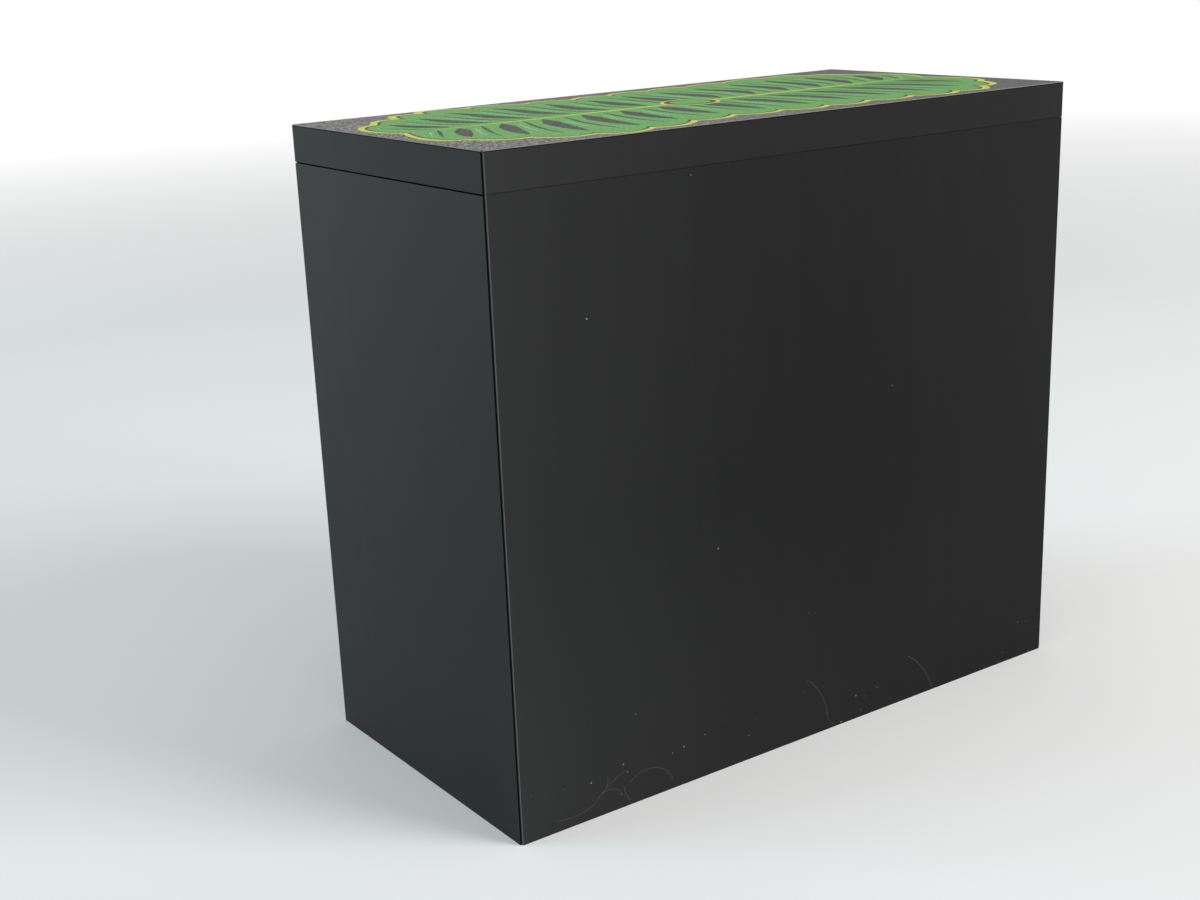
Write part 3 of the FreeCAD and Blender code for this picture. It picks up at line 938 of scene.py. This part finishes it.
def print_design():
    """The lid's print, ink over ink: a yellow edge, a dark line, the green leaf, its marks and the bud."""
    yellow = grained_print("yellow_ink", INK_YELLOW, INK_YELLOW_GLINT, INK_ROUGHNESS)
    green = grained_print("green_ink", INK_GREEN, INK_GREEN_GLINT, INK_ROUGHNESS)
    dark = grained_print("dark_ink", FILM_DARK, INK_DARK_GLINT, INK_ROUGHNESS)
    # The pale green ink draws the painted highlights on the lobes.
    pale = grained_print("pale_green_highlight_ink", INK_GREEN_GLINT, INK_HIGHLIGHT, INK_ROUGHNESS)
    outline = leaf_slab(DARK_WIDTH + YELLOW_WIDTH, ink_level("outline"))
    dark_line = leaf_slab(DARK_WIDTH, ink_level("dark line"))
    leaf = leaf_slab(0.0, ink_level("leaf"))
    stem = stem_slab(STEM_HALF_WIDTH, ink_level("stem"))
    bud_edge = disc_slab(BUD_EDGE_RADIUS, ink_level("bud edge"))
    bud_ground = disc_slab(BUD_GROUND_RADIUS, ink_level("bud ground"))
    bud = disc_slab(BUD_RADIUS, ink_level("bud"))
    mesh_piece("print_outline", [outline], yellow, "lid")
    mesh_piece("print_dark_line", [dark_line], dark, "lid")
    mesh_piece("print_leaf", [leaf], green, "lid")
    mesh_piece("print_gaps", leaf_gaps(), dark, "lid")
    mesh_piece("print_veins", leaf_veins(), dark, "lid")
    # Pale streaks of ink: painted highlights on the lobes.
    mesh_piece("print_highlights", leaf_highlights(), pale, "lid")
    mesh_piece("print_stem", [stem], yellow, "lid")
    mesh_piece("print_bud_edge", [bud_edge], yellow, "lid")
    mesh_piece("print_bud_ground", [bud_ground], dark, "lid")
    mesh_piece("print_bud", [bud], green, "lid")


def set_camera():
    """Places the camera where the photograph was taken from."""
    data = bpy.data.cameras.new("camera")
    data.sensor_width = SENSOR_WIDTH_MM
    data.lens = FOCAL_LENGTH_MM
    data.shift_x, data.shift_y = FRAME_SHIFT
    data.clip_start = CLIP_NEAR
    data.clip_end = CLIP_FAR
    camera = bpy.data.objects.new("camera", data)
    camera.location = CAMERA_PLACE
    camera.rotation_mode = "QUATERNION"
    lean = Quaternion((0.0, 0.0, 1.0), CAMERA_ROLL)
    camera.rotation_quaternion = CAMERA_DIRECTION.to_track_quat("-Z", "Y") @ lean
    bpy.context.scene.collection.objects.link(camera)
    bpy.context.scene.camera = camera


def white_for_the_eye(tree):
    """1 for rays that come from the camera, or from it by way of metal or glass, and 0 for the rest."""
    path = tree.add("ShaderNodeLightPath").outputs
    seen = tree.maths("MAXIMUM", path["Is Camera Ray"], path["Is Glossy Ray"])
    return tree.maths("MAXIMUM", seen, path["Is Transmission Ray"])


def set_world():
    """A plain world that shows white behind the object and lights it softly."""
    world = bpy.data.worlds.new("studio")
    tree = empty_tree(world)
    level = tree.ramp(white_for_the_eye(tree), 0.0, 1.0, WORLD_STRENGTH, 1.0)
    sky = tree.add("ShaderNodeBackground", {"Color": WHITE, "Strength": level})
    tree.add("ShaderNodeOutputWorld", {"Surface": sky.outputs["Background"]})
    bpy.context.scene.world = world


def pale_floor():
    """The floor's finish: matt and pale near the case, white further out, and clear from below.

    The pale part keeps the case's shadow.
    """
    material = bpy.data.materials.new("pale_floor")
    tree = empty_tree(material)
    place = tree.add("ShaderNodeTexCoord").outputs["Object"]
    away = tree.add("ShaderNodeVectorMath", {0: place}, operation="LENGTH").outputs["Value"]
    clear = tree.ramp(away, FLOOR_TURNS_WHITE, FLOOR_ALL_WHITE)
    seen = white_for_the_eye(tree)
    matt = tree.add("ShaderNodeBsdfDiffuse", {"Color": FLOOR_WHITE}).outputs["BSDF"]
    lift = tree.add("ShaderNodeEmission", {"Color": WHITE, "Strength": FLOOR_GLOW}).outputs[0]
    lifted = tree.add("ShaderNodeAddShader", {0: matt, 1: lift}).outputs[0]
    near = tree.add("ShaderNodeMixShader", {0: seen, 1: matt, 2: lifted}).outputs[0]
    white = tree.add("ShaderNodeEmission", {"Color": WHITE, "Strength": 1.0}).outputs[0]
    far = tree.maths("MULTIPLY", clear, seen)
    whole = tree.add("ShaderNodeMixShader", {0: far, 1: near, 2: white}).outputs[0]
    below = tree.add("ShaderNodeNewGeometry").outputs["Backfacing"]
    clear_below = tree.add("ShaderNodeBsdfTransparent").outputs["BSDF"]
    surface = tree.add("ShaderNodeMixShader", {0: below, 1: whole, 2: clear_below}).outputs[0]
    tree.add("ShaderNodeOutputMaterial", {"Surface": surface})
    return material


def set_floor():
    """A wide square floor, just clear of the case's underside."""
    mesh = bpy.data.meshes.new("floor")
    signs = [(-1, -1), (1, -1), (1, 1), (-1, 1)]
    mesh.from_pydata([(x * FLOOR_REACH, y * FLOOR_REACH, 0.0) for x, y in signs], [], [(0, 1, 2, 3)])
    floor = bpy.data.objects.new("floor", mesh)
    floor.location = (0.0, 0.0, -FLOOR_DROP)
    bpy.context.scene.collection.objects.link(floor)
    mesh.materials.append(pale_floor())


def soft_lamp(name, place, size, watts, colour):
    """A square soft box at a place, turned to the case."""
    data = bpy.data.lights.new(name, "AREA")
    data.shape = "SQUARE"
    data.size = size
    data.energy = watts
    data.color = colour
    lamp = bpy.data.objects.new(name, data)
    lamp.location = place
    lamp.rotation_mode = "QUATERNION"
    lamp.rotation_quaternion = (LAMP_TARGET - Vector(place)).to_track_quat("-Z", "Y")
    bpy.context.scene.collection.objects.link(lamp)


def set_lights():
    """Makes every lamp in the list."""
    for lamp in LAMPS:
        soft_lamp(*lamp)


bpy.context.scene.view_settings.view_transform = "Standard"
set_camera()
set_world()
set_floor()
set_lights()
dress_frame()
print_design()
